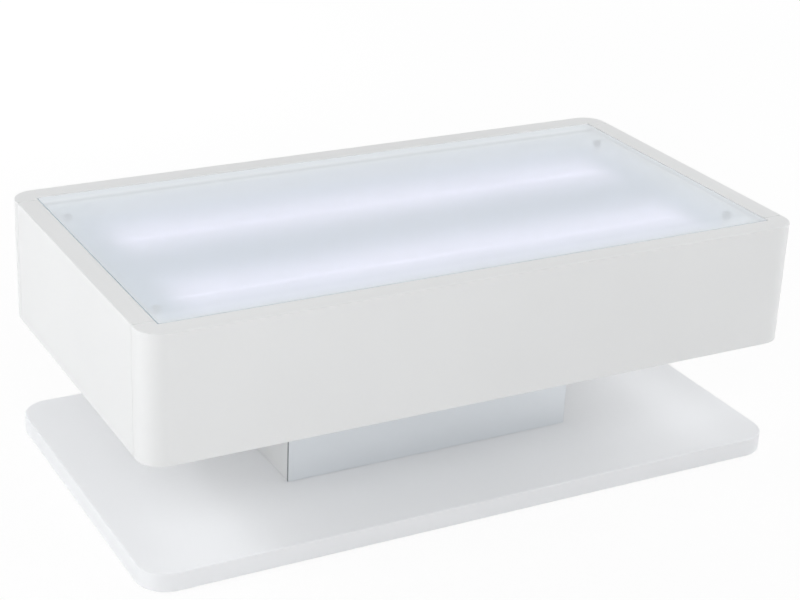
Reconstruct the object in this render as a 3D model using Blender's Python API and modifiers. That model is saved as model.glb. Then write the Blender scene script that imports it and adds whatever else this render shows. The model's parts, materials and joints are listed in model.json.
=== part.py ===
"""A white gloss coffee table with a lit glass top, a drawer in each long side and a pedestal.

Metres, +Z up. The origin is on the floor under the middle of the table. X runs along the
table, the front is at -Y, and left and right are as seen from the front.
"""
import math

import bmesh
import bpy
from mathutils import Matrix, Vector

# Overall sizes
TABLE_LENGTH = 1.150
TABLE_DEPTH = 0.620
TABLE_HEIGHT = 0.425
BOX_HEIGHT = 0.210

# Gaps, cuts and rounding shared by all pieces
SEAT_GAP = 0.0003
CUT_OVERRUN = 0.002
GLOSS_EDGE = 0.001
BOARD_EDGE = 0.0005
CORNER_STEPS = 8
EDGE_STEPS = 2
ROUND_SHARE = 0.5
TURN_STEPS = 20
MERGE_DISTANCE = 0.00002
EDGE_ANGLE = math.radians(40)

# Base plate and its feet
BASE_THICKNESS = 0.032
BASE_CORNER_RADIUS = 0.050
BASE_EDGE = 0.002
FOOT_THICKNESS = 0.003
FOOT_RADIUS = 0.015
FOOT_EDGE = 0.0006
FOOT_INSET = 0.060

# Pedestal between the base plate and the box
PEDESTAL_LENGTH = 0.525
PEDESTAL_DEPTH = 0.255
PEDESTAL_BOARD = 0.018
MIRROR_THICKNESS = 0.005
MIRROR_OVERHANG = 0.001
MIRROR_ARRIS = 0.0008

# Countersunk bolts that join the base plate, the pedestal and the box
BOLT_RADIUS = 0.003
BOLT_HEAD_RADIUS = 0.006
BOLT_HEAD_HEIGHT = 0.0033
BOLT_HEAD_SINK = 0.0005
BOLT_SOCKET_RADIUS = 0.0023
BOLT_SOCKET_DEPTH = 0.0022
BOLT_SPACING = 0.160
BASE_BOLT_LENGTH = 0.055
BOX_BOLT_LENGTH = 0.040

# Box: cheeks, drawer fronts and the boards behind them
BOX_CORNER_RADIUS = 0.039
CHEEK_THICKNESS = 0.036
FRONT_THICKNESS = 0.048
FRONT_LIP = 0.0372
SEAM_GAP = 0.0012
BOTTOM_RECESS = 0.014
BOTTOM_THICKNESS = 0.015
SIDE_BOARD_THICKNESS = 0.015
CENTRE_BOARD_THICKNESS = 0.015

# Glass top and the posts that carry it
GLASS_THICKNESS = 0.008
GLASS_RECESS = 0.0003
GLASS_GAP = 0.0015
GLASS_ARRIS = 0.001
POST_RADIUS = 0.007
POST_END_INSET = 0.026
POST_SIDE_INSET = 0.073
SUPPORT_CLEARANCE = 0.0026
REBATE_CLEARANCE = 0.001

# Light tray and the rails that carry it
LIGHT_CAVITY = 0.025
TRAY_THICKNESS = 0.009
RAIL_THICKNESS = 0.016
RAIL_SETBACK = 0.002
RAIL_LEDGE = 0.010
RAIL_LEDGE_HEIGHT = 0.020

# Light strips
STRIP_END_GAP = 0.062
STRIP_WIDTH = 0.012
STRIP_THICKNESS = 0.0016
STRIP_SPACING = 0.245
LED_SIZE = 0.005
LED_HEIGHT = 0.0014
LED_SINK = 0.0006
LED_PITCH = 0.040

# Light controller with its power socket, and the lead to the strips
CONTROLLER_LENGTH = 0.062
CONTROLLER_WIDTH = 0.030
CONTROLLER_HEIGHT = 0.012
CONTROLLER_EDGE = 0.0015
CONTROLLER_DISTANCE = 0.028
JACK_RADIUS = 0.0032
JACK_PIN_RADIUS = 0.001
JACK_DEPTH = 0.009
LEAD_RADIUS = 0.0015
LEAD_BEND = 0.005
LEAD_STEPS = 5
LEAD_CLEARANCE = 0.0015
LEAD_OFFSET = 0.016
LEAD_TURN = 0.014
LEAD_DROP = 0.010

# Drawer boxes
DRAWER_BACK_SPACE = 0.0205
DRAWER_HEADROOM = 0.014
DRAWER_BOARD = 0.012
DRAWER_CLEARANCE = 0.008
DRAWER_BOTTOM = 0.004
DRAWER_BOTTOM_LIFT = 0.006
GROOVE_DEPTH = 0.005

# Telescopic drawer slides: heights and depths of the three channels
SLIDE_END_SPACE = 0.0023
SLIDE_DEPTH = 0.0127
SLIDE_HEIGHT = 0.045
SLIDE_SHEET = 0.0012
SLIDE_SETBACK = 0.001
SLIDE_BALL_GAP = 0.0007
CABINET_CHANNEL_DEPTH = 0.0090
MIDDLE_CHANNEL_DEPTH = 0.0046
MIDDLE_CHANNEL_OFFSET = 0.0040
DRAWER_CHANNEL_DEPTH = 0.0060

# Heights that follow from the sizes above
BASE_UNDER = FOOT_THICKNESS + SEAT_GAP
BASE_TOP = BASE_UNDER + BASE_THICKNESS
BOX_UNDER = TABLE_HEIGHT - BOX_HEIGHT
BOTTOM_UNDER = BOX_UNDER + BOTTOM_RECESS
BOTTOM_TOP = BOTTOM_UNDER + BOTTOM_THICKNESS
GLASS_TOP = TABLE_HEIGHT - GLASS_RECESS
GLASS_UNDER = GLASS_TOP - GLASS_THICKNESS
REBATE_FLOOR = GLASS_UNDER - REBATE_CLEARANCE
SUPPORT_TOP = GLASS_UNDER - SUPPORT_CLEARANCE
TRAY_TOP = GLASS_UNDER - LIGHT_CAVITY
TRAY_UNDER = TRAY_TOP - TRAY_THICKNESS
STRIP_UNDER = TRAY_TOP + SEAT_GAP
STRIP_TOP = STRIP_UNDER + STRIP_THICKNESS
LEDGE_TOP = TRAY_UNDER - SEAT_GAP
LEDGE_UNDER = LEDGE_TOP - RAIL_LEDGE_HEIGHT
DRAWER_UNDER = BOTTOM_TOP + DRAWER_CLEARANCE
DRAWER_TOP = LEDGE_UNDER - DRAWER_HEADROOM
SLIDE_CENTRE = (DRAWER_UNDER + DRAWER_TOP) / 2

# Half widths along X, from the outside in
HALF_LENGTH = TABLE_LENGTH / 2
CHEEK_INNER = HALF_LENGTH - CHEEK_THICKNESS
SIDE_OUTER = CHEEK_INNER - SEAT_GAP
SIDE_INNER = SIDE_OUTER - SIDE_BOARD_THICKNESS
DRAWER_OUTER = SIDE_INNER - SLIDE_DEPTH
DRAWER_INNER = DRAWER_OUTER - DRAWER_BOARD
STRIP_END = SIDE_INNER - STRIP_END_GAP
GLASS_HALF_LENGTH = CHEEK_INNER - GLASS_GAP
PEDESTAL_END = PEDESTAL_LENGTH / 2
PEDESTAL_END_INNER = PEDESTAL_END - PEDESTAL_BOARD

# Half widths along Y, from the outside in
HALF_DEPTH = TABLE_DEPTH / 2
FRONT_BACK = HALF_DEPTH - FRONT_THICKNESS
CARCASS_END = FRONT_BACK - SEAM_GAP
LIP_BACK = HALF_DEPTH - FRONT_LIP
GLASS_HALF_DEPTH = LIP_BACK - GLASS_GAP
RAIL_OUTER = CARCASS_END - RAIL_SETBACK
RAIL_INNER = RAIL_OUTER - RAIL_THICKNESS
LEDGE_INNER = RAIL_INNER - RAIL_LEDGE
CENTRE_FACE = CENTRE_BOARD_THICKNESS / 2
DRAWER_BACK = CENTRE_FACE + DRAWER_BACK_SPACE
SLIDE_START = CARCASS_END - SLIDE_SETBACK
SLIDE_LENGTH = SLIDE_START - CENTRE_FACE - SLIDE_END_SPACE
PEDESTAL_FACE = PEDESTAL_DEPTH / 2 - MIRROR_THICKNESS - SEAT_GAP
PEDESTAL_FACE_INNER = PEDESTAL_FACE - PEDESTAL_BOARD

# Sides of the table as signs
LEFT, RIGHT = -1, 1
FRONT, BACK = -1, 1
SIDE_NAMES = {LEFT: "left", RIGHT: "right"}
FACE_NAMES = {FRONT: "front", BACK: "back"}

PARTS_COLLECTION = "coffee_table"
CUTTERS_COLLECTION = "cutters"


def clear_scene():
    """Remove every object, so that the table is all there is."""
    for thing in list(bpy.data.objects):
        bpy.data.objects.remove(thing, do_unlink=True)


def collection(name):
    """The collection of that name, made and linked when first asked for."""
    found = bpy.data.collections.get(name)
    if found is None:
        found = bpy.data.collections.new(name)
        bpy.context.scene.collection.children.link(found)
    return found


# Finishes

def make_material(name, colour, roughness, metallic=0.0, coat=0.0, transmission=0.0):
    """A Principled material for one piece."""
    material = bpy.data.materials.new(name)
    material.use_nodes = True
    shader = material.node_tree.nodes["Principled BSDF"]
    shader.inputs["Base Color"].default_value = (*colour, 1.0)
    shader.inputs["Roughness"].default_value = roughness
    shader.inputs["Metallic"].default_value = metallic
    shader.inputs["Coat Weight"].default_value = coat
    shader.inputs["Transmission Weight"].default_value = transmission
    return material


def white_gloss(name):
    """White high-gloss lacquer on fibreboard."""
    return make_material(name, (0.82, 0.83, 0.83), 0.08, coat=1.0)


def white_melamine(name):
    """Satin white facing of the inner boards."""
    return make_material(name, (0.78, 0.78, 0.77), 0.40)


def hardboard(name):
    """White-faced hardboard of the drawer bottoms."""
    return make_material(name, (0.72, 0.71, 0.69), 0.50)


def frosted_glass(name):
    """Tempered glass, frosted on its underside."""
    return make_material(name, (0.72, 0.77, 0.80), 0.12, transmission=0.6)


def mirror(name):
    """Silvered plate on the pedestal."""
    return make_material(name, (0.80, 0.83, 0.85), 0.04, metallic=1.0)


def zinc_steel(name):
    """Bright zinc-plated steel."""
    return make_material(name, (0.62, 0.63, 0.65), 0.28, metallic=1.0)


def dark_rubber(name):
    """Dark soft rubber."""
    return make_material(name, (0.03, 0.03, 0.03), 0.75)


def grey_plastic(name):
    """Grey plastic of the feet."""
    return make_material(name, (0.10, 0.10, 0.10), 0.60)


def white_plastic(name):
    """White plastic of the light strips, the controller and the lead."""
    return make_material(name, (0.80, 0.80, 0.80), 0.35)


# Modelling helpers

def add_piece(name, mesh, place, finish, parent=None):
    """Put a mesh in the parts collection as a named piece with its own material."""
    piece = bpy.data.objects.new(name, mesh)
    collection(PARTS_COLLECTION).objects.link(piece)
    piece.location = Vector(place)
    if parent is not None:
        piece.parent = parent
        piece.location = Vector(place) - parent.location
    mesh.materials.append(finish(name))
    return piece


def add_cutter(name, mesh, place):
    """Put a mesh in the cutters collection, hidden from renders."""
    cutter = bpy.data.objects.new(name, mesh)
    collection(CUTTERS_COLLECTION).objects.link(cutter)
    cutter.location = Vector(place)
    cutter.hide_render = True
    cutter.display_type = "WIRE"
    return cutter


def add_empty(name, place):
    """An empty that carries the pieces of one moving body."""
    empty = bpy.data.objects.new(name, None)
    collection(PARTS_COLLECTION).objects.link(empty)
    empty.location = Vector(place)
    return empty


def box_mesh(name, size, corners=(), radius=0.0):
    """A box mesh about its own middle, with some upright edges rounded in plan.

    corners holds the (x sign, y sign) of each upright edge that gets the radius.
    """
    mesh = bpy.data.meshes.new(name)
    bm = bmesh.new()
    bmesh.ops.create_cube(bm, size=1)
    bmesh.ops.scale(bm, vec=size, verts=bm.verts)
    upright = [edge for edge in bm.edges if is_upright_at(edge, corners)]
    if upright:
        bmesh.ops.bevel(bm, geom=upright, offset=radius, segments=CORNER_STEPS,
                        profile=ROUND_SHARE, affect="EDGES")
    bm.to_mesh(mesh)
    bm.free()
    return mesh


def is_upright_at(edge, corners):
    """Whether an edge of a centred box stands at one of the given corners in plan."""
    first, second = (vertex.co for vertex in edge.verts)
    if abs(first.x - second.x) > MERGE_DISTANCE or abs(first.y - second.y) > MERGE_DISTANCE:
        return False
    return (math.copysign(1, first.x), math.copysign(1, first.y)) in corners


def box_between(x, y, z):
    """The size and the middle of the box between two places on each axis."""
    low = Vector((min(x), min(y), min(z)))
    high = Vector((max(x), max(y), max(z)))
    return high - low, (low + high) / 2


def round_edges(piece, width):
    """Round the sharp edges of a piece."""
    bevel = piece.modifiers.new("edge_round", "BEVEL")
    bevel.width = width
    bevel.segments = EDGE_STEPS
    bevel.limit_method = "ANGLE"
    bevel.angle_limit = EDGE_ANGLE


def board(name, x, y, z, finish, edge, parent=None, corners=(), radius=0.0):
    """A board between two places on each axis, with rounded edges."""
    size, middle = box_between(x, y, z)
    piece = add_piece(name, box_mesh(name, size, corners, radius), middle, finish, parent)
    round_edges(piece, edge)
    return piece


def block_cutter(name, x, y, z):
    """A cutter between two places on each axis."""
    size, middle = box_between(x, y, z)
    return add_cutter(name, box_mesh(name, size), middle)


def combine(piece, tool, operation="DIFFERENCE"):
    """Cut a tool from a piece, or join it on."""
    boolean = piece.modifiers.new(tool.name, "BOOLEAN")
    boolean.object = tool
    boolean.operation = operation
    boolean.solver = "EXACT"


def profile_mesh(name, profile, closed=False):
    """Edges in the XZ plane through (radius, height) points, to be turned about Z."""
    mesh = bpy.data.meshes.new(name)
    points = [(radius, 0, height) for radius, height in profile]
    edges = [(i, i + 1) for i in range(len(points) - 1)]
    if closed:
        edges.append((len(points) - 1, 0))
    mesh.from_pydata(points, edges, [])
    return mesh


def turn(piece):
    """Turn a profile about its own Z axis."""
    screw = piece.modifiers.new("turn", "SCREW")
    screw.steps = TURN_STEPS
    screw.render_steps = TURN_STEPS
    screw.use_merge_vertices = True
    screw.merge_threshold = MERGE_DISTANCE
    screw.use_smooth_shade = False


def turned_mesh(name, profile, closed=False):
    """A turned solid as a finished mesh, shaded smooth between its sharp edges."""
    guide = add_cutter(name + "_profile", profile_mesh(name + "_profile", profile, closed), (0, 0, 0))
    turn(guide)
    return finished_mesh(name, guide)


def finished_mesh(name, guide):
    """The evaluated mesh of a guide object, welded, with the guide removed."""
    bpy.context.view_layer.update()
    evaluated = guide.evaluated_get(bpy.context.evaluated_depsgraph_get())
    mesh = bpy.data.meshes.new_from_object(evaluated)
    mesh.name = name
    bm = bmesh.new()
    bm.from_mesh(mesh)
    bmesh.ops.remove_doubles(bm, verts=bm.verts, dist=MERGE_DISTANCE)
    bmesh.ops.recalc_face_normals(bm, faces=bm.faces)
    bm.to_mesh(mesh)
    bm.free()
    bpy.data.objects.remove(guide, do_unlink=True)
    mesh.shade_smooth()
    mesh.set_sharp_from_angle(angle=EDGE_ANGLE)
    return mesh


def curve_object(name, points, closed, dimensions):
    """A curve of straight pieces through the points."""
    curve = bpy.data.curves.new(name, "CURVE")
    curve.dimensions = dimensions
    spline = curve.splines.new("POLY")
    spline.points.add(len(points) - 1)
    for target, point in zip(spline.points, points):
        target.co = (*point, 1)
    spline.use_cyclic_u = closed
    return add_cutter(name, curve, (0, 0, 0))


def section_mesh(name, outline, length):
    """A flat outline, given as (x, z) points, carried along Y over the length."""
    guide = curve_object(name, [(x, z, 0) for x, z in outline], True, "2D")
    guide.data.fill_mode = "BOTH"
    guide.data.extrude = length / 2
    mesh = finished_mesh(name, guide)
    mesh.transform(Matrix.Rotation(math.pi / 2, 4, "X"))
    return mesh


def tube_mesh(name, points, radius):
    """A round tube through the points, closed at both ends."""
    guide = curve_object(name, points, False, "3D")
    guide.data.bevel_depth = radius
    guide.data.bevel_resolution = 2
    guide.data.use_fill_caps = True
    return finished_mesh(name, guide)


def bent_route(corners, bend):
    """Points of a path through the corners, each corner rounded over the bend length."""
    corners = [Vector(corner) for corner in corners]
    points = [corners[0]]
    for before, corner, after in zip(corners, corners[1:], corners[2:]):
        start = corner + (before - corner).normalized() * bend
        end = corner + (after - corner).normalized() * bend
        for step in range(LEAD_STEPS + 1):
            share = step / LEAD_STEPS
            first = start.lerp(corner, share)
            second = corner.lerp(end, share)
            points.append(first.lerp(second, share))
    points.append(corners[-1])
    return points


# Base plate and feet

def base_plate():
    """The thick plate on the floor, rounded at its four corners."""
    corners = [(side, face) for side in (LEFT, RIGHT) for face in (FRONT, BACK)]
    return board("base_plate", (-HALF_LENGTH, HALF_LENGTH), (-HALF_DEPTH, HALF_DEPTH),
                 (BASE_UNDER, BASE_TOP), white_gloss, BASE_EDGE, corners=corners,
                 radius=BASE_CORNER_RADIUS)


def feet():
    """Four flat discs under the base plate."""
    profile = [(0, FOOT_THICKNESS), (FOOT_RADIUS, FOOT_THICKNESS), (FOOT_RADIUS, FOOT_EDGE),
               (FOOT_RADIUS - FOOT_EDGE, 0), (0, 0)]
    for side in (LEFT, RIGHT):
        for face in (FRONT, BACK):
            name = f"foot_{FACE_NAMES[face]}_{SIDE_NAMES[side]}"
            place = (side * (HALF_LENGTH - FOOT_INSET), face * (HALF_DEPTH - FOOT_INSET), 0)
            add_piece(name, turned_mesh(name, profile), place, grey_plastic)


# Pedestal

def pedestal():
    """Two end boards, two long boards between them and a silvered plate on each long side."""
    upright = (BASE_TOP + SEAT_GAP, BOTTOM_UNDER - SEAT_GAP)
    ends = {}
    for side in (LEFT, RIGHT):
        ends[side] = board(f"pedestal_end_{SIDE_NAMES[side]}",
                           (side * PEDESTAL_END, side * PEDESTAL_END_INNER),
                           (-PEDESTAL_FACE, PEDESTAL_FACE), upright, white_gloss, BOARD_EDGE)
    for face in (FRONT, BACK):
        inner = PEDESTAL_END_INNER - SEAT_GAP
        board(f"pedestal_board_{FACE_NAMES[face]}", (-inner, inner),
              (face * PEDESTAL_FACE, face * PEDESTAL_FACE_INNER), upright, white_melamine,
              BOARD_EDGE)
        mirror_plate(face)
    return ends


def mirror_plate(face):
    """The silvered plate that covers one long side of the pedestal up to the box."""
    reach = PEDESTAL_END + MIRROR_OVERHANG
    outer = PEDESTAL_DEPTH / 2
    board(f"mirror_plate_{FACE_NAMES[face]}", (-reach, reach),
          (face * outer, face * (outer - MIRROR_THICKNESS)),
          (BASE_TOP + SEAT_GAP, BOTTOM_UNDER - SEAT_GAP), mirror, MIRROR_ARRIS)


# Bolts

def bolt_profile(length):
    """Outline of a countersunk bolt, its flat head at the top."""
    return [(0, 0), (BOLT_HEAD_RADIUS, 0), (BOLT_RADIUS, -BOLT_HEAD_HEIGHT), (BOLT_RADIUS, -length),
            (0, -length)]


def bolt_hole_profile(length):
    """Outline of the hole that a bolt sits in, open above its head."""
    head = BOLT_HEAD_RADIUS + SEAT_GAP
    shank = BOLT_RADIUS + SEAT_GAP
    return [(0, CUT_OVERRUN), (head, CUT_OVERRUN), (head, 0), (shank, -BOLT_HEAD_HEIGHT),
            (shank, -length - SEAT_GAP), (0, -length - SEAT_GAP)]


def bolt(name, place, length, upward, boards):
    """One bolt with a six-sided socket, and its hole in each board that it goes through."""
    turn_over = (math.pi, 0, 0) if upward else (0, 0, 0)
    piece = add_piece(name, turned_mesh(name, bolt_profile(length)), place, zinc_steel)
    piece.rotation_euler = turn_over
    hole = add_cutter(name + "_hole", turned_mesh(name + "_hole", bolt_hole_profile(length)), place)
    hole.rotation_euler = turn_over
    for wood in boards:
        combine(wood, hole)
    combine(piece, socket_cutter(name, place, turn_over))


def socket_cutter(name, place, turn_over):
    """The six-sided recess in a bolt's head."""
    mesh = bpy.data.meshes.new(name + "_socket")
    bm = bmesh.new()
    bmesh.ops.create_cone(bm, cap_ends=True, segments=6, radius1=BOLT_SOCKET_RADIUS,
                          radius2=BOLT_SOCKET_RADIUS, depth=2 * BOLT_SOCKET_DEPTH)
    bm.to_mesh(mesh)
    bm.free()
    cutter = add_cutter(name + "_socket", mesh, place)
    cutter.rotation_euler = turn_over
    return cutter


def pedestal_bolts(ends, plate, bottom):
    """Four bolts up through the base plate and four down through the box's bottom."""
    for side in (LEFT, RIGHT):
        for face in (FRONT, BACK):
            where = f"{FACE_NAMES[face]}_{SIDE_NAMES[side]}"
            x = side * (PEDESTAL_END + PEDESTAL_END_INNER) / 2
            y = face * BOLT_SPACING / 2
            bolt(f"base_bolt_{where}", (x, y, BASE_UNDER + BOLT_HEAD_SINK), BASE_BOLT_LENGTH, True,
                 (plate, ends[side]))
            bolt(f"box_bolt_{where}", (x, y, BOTTOM_TOP - BOLT_HEAD_SINK), BOX_BOLT_LENGTH, False,
                 (bottom, ends[side]))


# Box

def cheek(side):
    """The thick gloss end of the box, as tall as the drawer fronts."""
    board(f"cheek_{SIDE_NAMES[side]}", (side * HALF_LENGTH, side * CHEEK_INNER),
          (-CARCASS_END, CARCASS_END), (BOX_UNDER, TABLE_HEIGHT), white_gloss, GLOSS_EDGE)


def side_board(side):
    """The board inside a cheek that carries the drawer slides."""
    board(f"side_board_{SIDE_NAMES[side]}", (side * SIDE_OUTER, side * SIDE_INNER),
          (-CARCASS_END, CARCASS_END), (BOTTOM_TOP + SEAT_GAP, SUPPORT_TOP), white_melamine,
          BOARD_EDGE)


def bottom_panel():
    """The floor of the box, raised so that a hand gets behind the drawer fronts."""
    return board("bottom_panel", (-SIDE_OUTER, SIDE_OUTER), (-CARCASS_END, CARCASS_END),
                 (BOTTOM_UNDER, BOTTOM_TOP), white_melamine, BOARD_EDGE)


def centre_board():
    """The upright board between the two drawers, which also carries the light tray."""
    inner = SIDE_INNER - SEAT_GAP
    return board("centre_board", (-inner, inner), (-CENTRE_FACE, CENTRE_FACE),
                 (BOTTOM_TOP + SEAT_GAP, TRAY_UNDER - SEAT_GAP), white_melamine, BOARD_EDGE)


def glass_rail(face):
    """The stepped rail under one long edge of the glass, whose ledge carries the light tray."""
    outline = [(RAIL_OUTER, LEDGE_UNDER), (RAIL_OUTER, SUPPORT_TOP), (RAIL_INNER, SUPPORT_TOP),
               (RAIL_INNER, LEDGE_TOP), (LEDGE_INNER, LEDGE_TOP), (LEDGE_INNER, LEDGE_UNDER)]
    name = f"glass_rail_{FACE_NAMES[face]}"
    rail = add_piece(name, section_mesh(name, outline, 2 * (SIDE_INNER - SEAT_GAP)), (0, 0, 0),
                     white_melamine)
    rail.rotation_euler.z = face * math.pi / 2


def light_tray():
    """The white board under the glass that the light strips lie on."""
    x = SIDE_INNER - SEAT_GAP
    y = RAIL_INNER - SEAT_GAP
    return board("light_tray", (-x, x), (-y, y), (TRAY_UNDER, TRAY_TOP), white_melamine, BOARD_EDGE)


# Glass

def glass_top():
    """The frosted glass plate, level with the rim and clear of it all round."""
    board("glass_top", (-GLASS_HALF_LENGTH, GLASS_HALF_LENGTH), (-GLASS_HALF_DEPTH, GLASS_HALF_DEPTH),
          (GLASS_UNDER, GLASS_TOP), frosted_glass, GLASS_ARRIS)


def glass_posts():
    """Four soft posts on the light tray, one near each corner of the glass."""
    height = LIGHT_CAVITY - 2 * SEAT_GAP
    profile = [(0, height), (POST_RADIUS, height), (POST_RADIUS, 0), (0, 0)]
    for side in (LEFT, RIGHT):
        for face in (FRONT, BACK):
            name = f"glass_post_{FACE_NAMES[face]}_{SIDE_NAMES[side]}"
            place = (side * (GLASS_HALF_LENGTH - POST_END_INSET),
                     face * (GLASS_HALF_DEPTH - POST_SIDE_INSET), TRAY_TOP + SEAT_GAP)
            add_piece(name, turned_mesh(name, profile), place, dark_rubber)


# Light strips, controller and lead

def light_strip(face):
    """A strip on the tray with a row of light packages standing on it."""
    name = f"led_strip_{FACE_NAMES[face]}"
    y = face * STRIP_SPACING / 2
    size, middle = box_between((-STRIP_END, STRIP_END),
                               (y - STRIP_WIDTH / 2, y + STRIP_WIDTH / 2), (STRIP_UNDER, STRIP_TOP))
    strip = add_piece(name, box_mesh(name, size), middle, white_plastic)
    combine(strip, light_packages(name + "_packages", y), "UNION")


def light_packages(name, y):
    """The row of small square light packages of one strip."""
    count = math.floor(2 * STRIP_END / LED_PITCH)
    first = -(count - 1) * LED_PITCH / 2
    size, middle = box_between((first - LED_SIZE / 2, first + LED_SIZE / 2),
                               (y - LED_SIZE / 2, y + LED_SIZE / 2),
                               (STRIP_TOP - LED_SINK, STRIP_TOP + LED_HEIGHT))
    row = add_cutter(name, box_mesh(name, size), middle)
    array = row.modifiers.new("row", "ARRAY")
    array.count = count
    array.use_relative_offset = False
    array.use_constant_offset = True
    array.constant_offset_displace = (LED_PITCH, 0, 0)
    return row


def controller_place():
    """The middle of the light controller, under the box beside the pedestal's right end."""
    x = PEDESTAL_END + CONTROLLER_DISTANCE + CONTROLLER_LENGTH / 2
    return Vector((x, LEAD_OFFSET, BOTTOM_UNDER - SEAT_GAP - CONTROLLER_HEIGHT / 2))


def controller():
    """The light controller: a small case with a round power socket in its outer end."""
    size = (CONTROLLER_LENGTH, CONTROLLER_WIDTH, CONTROLLER_HEIGHT)
    place = controller_place()
    case = add_piece("led_controller", box_mesh("led_controller", size), place, white_plastic)
    round_edges(case, CONTROLLER_EDGE)
    ring = [(JACK_PIN_RADIUS, CUT_OVERRUN), (JACK_RADIUS, CUT_OVERRUN), (JACK_RADIUS, -JACK_DEPTH),
            (JACK_PIN_RADIUS, -JACK_DEPTH)]
    mouth = place + Vector((CONTROLLER_LENGTH / 2, 0, 0))
    jack = add_cutter("power_socket_cut", turned_mesh("power_socket_cut", ring, closed=True), mouth)
    jack.rotation_euler.y = math.pi / 2
    combine(case, jack)


def lead(bottom, centre, tray):
    """The forked lead from the controller up through the box to both strips."""
    start = controller_place() - Vector((CONTROLLER_LENGTH / 2 + SEAT_GAP, 0, 0))
    rise = start.x - LEAD_TURN
    under_tray = TRAY_UNDER - LEAD_DROP
    end_x = STRIP_END + SEAT_GAP
    over_tray = STRIP_UNDER + LEAD_RADIUS
    fork = Vector((rise, LEAD_OFFSET, under_tray))
    trunk = [start, (rise, LEAD_OFFSET, start.z), fork]
    branches = {BACK: trunk, FRONT: [fork, (rise, -LEAD_OFFSET, under_tray)]}
    for face, route in branches.items():
        y = face * STRIP_SPACING / 2
        hole_x = end_x + LEAD_TURN
        route += [(hole_x, y, under_tray), (hole_x, y, over_tray), (end_x, y, over_tray)]
        combine(tray, lead_hole(f"tray_hole_{FACE_NAMES[face]}", (hole_x, y, TRAY_UNDER),
                                TRAY_THICKNESS))
    back_lead = tube_mesh("led_lead", bent_route(branches[BACK], LEAD_BEND), LEAD_RADIUS)
    front_lead = tube_mesh("led_lead_branch", bent_route(branches[FRONT], LEAD_BEND), LEAD_RADIUS)
    cable = add_piece("led_lead", back_lead, (0, 0, 0), white_plastic)
    combine(cable, add_cutter("led_lead_branch", front_lead, (0, 0, 0)), "UNION")
    combine(bottom, lead_hole("bottom_hole", (rise, LEAD_OFFSET, BOTTOM_UNDER), BOTTOM_THICKNESS))
    side_hole = lead_hole("centre_hole", (rise, -CENTRE_FACE, under_tray), CENTRE_BOARD_THICKNESS)
    side_hole.rotation_euler.x = -math.pi / 2
    combine(centre, side_hole)


def lead_hole(name, place, depth):
    """A round cutter for the lead, starting at a face and going up through the depth."""
    radius = LEAD_RADIUS + LEAD_CLEARANCE
    top = depth + CUT_OVERRUN
    profile = [(0, top), (radius, top), (radius, -CUT_OVERRUN), (0, -CUT_OVERRUN)]
    return add_cutter(name, turned_mesh(name, profile), place)


# Drawers and slides

def drawer(face):
    """A drawer: its gloss front with the box's rounded corners, and the box behind it."""
    where = FACE_NAMES[face]
    body = add_empty(f"{where}_drawer", (0, face * FRONT_BACK, SLIDE_CENTRE))
    upright = (DRAWER_UNDER, DRAWER_TOP)
    behind = FRONT_BACK - SEAT_GAP
    front = board(f"{where}_drawer_front", (-HALF_LENGTH, HALF_LENGTH),
                  (face * HALF_DEPTH, face * FRONT_BACK), (BOX_UNDER, TABLE_HEIGHT), white_gloss,
                  GLOSS_EDGE, body, [(LEFT, face), (RIGHT, face)], BOX_CORNER_RADIUS)
    combine(front, glass_rebate(face))
    boards = [front]
    for side in (LEFT, RIGHT):
        boards.append(board(f"{where}_drawer_side_{SIDE_NAMES[side]}",
                            (side * DRAWER_OUTER, side * DRAWER_INNER),
                            (face * behind, face * DRAWER_BACK), upright, white_melamine,
                            BOARD_EDGE, body))
    inner = DRAWER_INNER - SEAT_GAP
    boards.append(board(f"{where}_drawer_back", (-inner, inner),
                        (face * DRAWER_BACK, face * (DRAWER_BACK + DRAWER_BOARD)), upright,
                        white_melamine, BOARD_EDGE, body))
    groove = drawer_bottom(face, body)
    for wood in boards:
        combine(wood, groove)
    return body


def glass_rebate(face):
    """The cutter of the step in a drawer front that the glass reaches over."""
    return block_cutter(f"{FACE_NAMES[face]}_rebate", (-CHEEK_INNER, CHEEK_INNER),
                        (face * LIP_BACK, face * (FRONT_BACK - CUT_OVERRUN)),
                        (REBATE_FLOOR, TABLE_HEIGHT + CUT_OVERRUN))


def drawer_bottom(face, body):
    """The thin bottom of a drawer, and the cutter of the groove that holds its edges."""
    where = FACE_NAMES[face]
    under = DRAWER_UNDER + DRAWER_BOTTOM_LIFT
    reach = GROOVE_DEPTH - SEAT_GAP
    x = DRAWER_INNER + reach
    y = (face * (FRONT_BACK + reach), face * (DRAWER_BACK + DRAWER_BOARD - reach))
    board(f"{where}_drawer_bottom", (-x, x), y, (under, under + DRAWER_BOTTOM), hardboard,
          BOARD_EDGE, body)
    x = DRAWER_INNER + GROOVE_DEPTH
    y = (face * (FRONT_BACK + GROOVE_DEPTH), face * (DRAWER_BACK + DRAWER_BOARD - GROOVE_DEPTH))
    return block_cutter(f"{where}_groove", (-x, x), y,
                        (under - SEAT_GAP, under + DRAWER_BOTTOM + SEAT_GAP))


def channel_outline(web, lip, height):
    """A channel's outline: its web at one distance from the side board, its lips reaching to another."""
    sheet = math.copysign(SLIDE_SHEET, lip - web)
    half = height / 2
    return [(web, -half), (web, half), (lip, half), (lip, half - SLIDE_SHEET),
            (web + sheet, half - SLIDE_SHEET), (web + sheet, -half + SLIDE_SHEET),
            (lip, -half + SLIDE_SHEET), (lip, -half)]


def channel(name, outline, length, side, face, parent=None):
    """One channel of a slide beside the side board, its front end just behind the drawer front."""
    toward_side = [(side * (SIDE_INNER - distance), height) for distance, height in outline]
    place = (0, face * (SLIDE_START - length / 2), SLIDE_CENTRE)
    add_piece(name, section_mesh(name, toward_side, length), place, zinc_steel, parent)


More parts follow.
